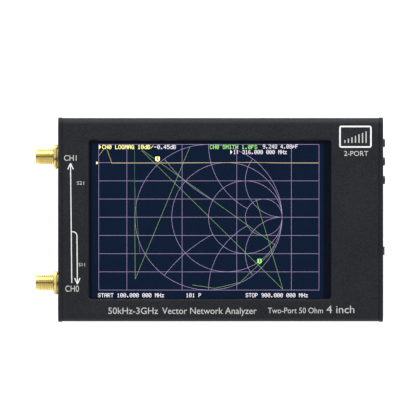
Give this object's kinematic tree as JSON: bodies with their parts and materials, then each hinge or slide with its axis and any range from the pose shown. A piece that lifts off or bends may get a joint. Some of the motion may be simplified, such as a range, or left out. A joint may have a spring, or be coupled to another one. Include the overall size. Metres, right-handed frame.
{
  "type": "vector network analyzer",
  "caption": "Flat black handheld vector network analyzer: sleeve case, landscape touch screen, coaxial jacks on one end, push buttons, slide switch and charging socket on the other.",
  "frame": {"origin": "centre of the case's back face, with the analyzer lying on its back and the screen up", "axes": "+X along the length, towards the end with the buttons and the charging socket; +Y across the width, towards the top of the screen; +Z out of the screen"},
  "size_m": [0.1264, 0.0738, 0.019],
  "materials": {
    "case_black": "black anodised, fine bead-blasted, matte",
    "screw_black": "black oxide, satin",
    "gold_plate": "gold plated, bright, fine turning marks",
    "jack_insulator": "waxy fluoropolymer",
    "touch_film": "dark tinted touch film, smooth",
    "display_glass": "lit liquid crystal display, very dark blue ground",
    "foam_black": "closed-cell foam tape",
    "tin_plate": "tinned sheet, dull",
    "stainless": "stamped, satin",
    "amber_film": "polyimide ribbon, satin",
    "connector_resin": "moulded resin",
    "board_green": "solder mask over glass-epoxy laminate",
    "chip_resin": "moulded resin, fine grain",
    "ferrite": "pressed ferrite",
    "button_black": "moulded resin, satin",
    "light_pipe_clear": "clear moulded, frosted face",
    "battery_foil": "laminated pouch foil",
    "lead_red": "silicone insulation",
    "lead_black": "silicone insulation"
  },
  "bodies": {
    "case": {"case_sleeve": "case_black", "left_end_plate": "case_black", "right_end_plate": "case_black", "left_plate_screw_1": "screw_black", "left_plate_screw_2": "screw_black", "left_plate_screw_3": "screw_black", "left_plate_screw_4": "screw_black", "right_plate_screw_1": "screw_black", "right_plate_screw_2": "screw_black", "right_plate_screw_3": "screw_black", "right_plate_screw_4": "screw_black", "window_gasket": "foam_black", "touch_panel": "touch_film", "lcd_cell": "display_glass", "lcd_backlight_tray": "tin_plate", "display_ribbon": "amber_film", "display_ribbon_connector": "connector_resin", "touch_ribbon": "amber_film", "touch_ribbon_connector": "connector_resin", "main_board": "board_green", "shield_fence": "tin_plate", "shield_lid": "tin_plate", "signal_generator_chip_1": "chip_resin", "signal_generator_chip_2": "chip_resin", "reference_oscillator": "stainless", "microcontroller": "chip_resin", "charger_chip": "chip_resin", "power_inductor": "ferrite", "button_1_shell": "chip_resin", "button_1_dome": "stainless", "button_2_shell": "chip_resin", "button_2_dome": "stainless", "button_3_shell": "chip_resin", "button_3_dome": "stainless", "power_switch_shell": "stainless", "usb_c_shell": "stainless", "usb_c_tongue": "chip_resin", "charge_led": "connector_resin", "charge_light_pipe": "light_pipe_clear", "battery": "battery_foil", "battery_pad": "foam_black", "battery_lead_red": "lead_red", "battery_lead_black": "lead_black", "battery_plug": "connector_resin", "battery_socket": "connector_resin", "ch1_jack_body": "gold_plate", "ch1_jack_dielectric": "jack_insulator", "ch1_jack_contact": "gold_plate", "ch1_jack_washer": "gold_plate", "ch1_jack_nut": "gold_plate", "ch0_jack_body": "gold_plate", "ch0_jack_dielectric": "jack_insulator", "ch0_jack_contact": "gold_plate", "ch0_jack_washer": "gold_plate", "ch0_jack_nut": "gold_plate"},
    "button_1": {"button_1_stem": "button_black"},
    "button_2": {"button_2_stem": "button_black"},
    "button_3": {"button_3_stem": "button_black"},
    "power_switch": {"power_switch_knob": "button_black"}
  },
  "joints": [
    {"name": "button_1_press", "type": "slide", "parent": "case", "child": "button_1", "axis": [-1, 0, 0], "range_m": [0, 0.0003], "stiffness_N_per_m": 4000, "springref_m": -0.00005},
    {"name": "button_2_press", "type": "slide", "parent": "case", "child": "button_2", "axis": [-1, 0, 0], "range_m": [0, 0.0003], "stiffness_N_per_m": 4000, "springref_m": -0.00005},
    {"name": "button_3_press", "type": "slide", "parent": "case", "child": "button_3", "axis": [-1, 0, 0], "range_m": [0, 0.0003], "stiffness_N_per_m": 4000, "springref_m": -0.00005},
    {"name": "power_switch_slide", "type": "slide", "parent": "case", "child": "power_switch", "axis": [0, -1, 0], "range_m": [0, 0.002]}
  ]
}
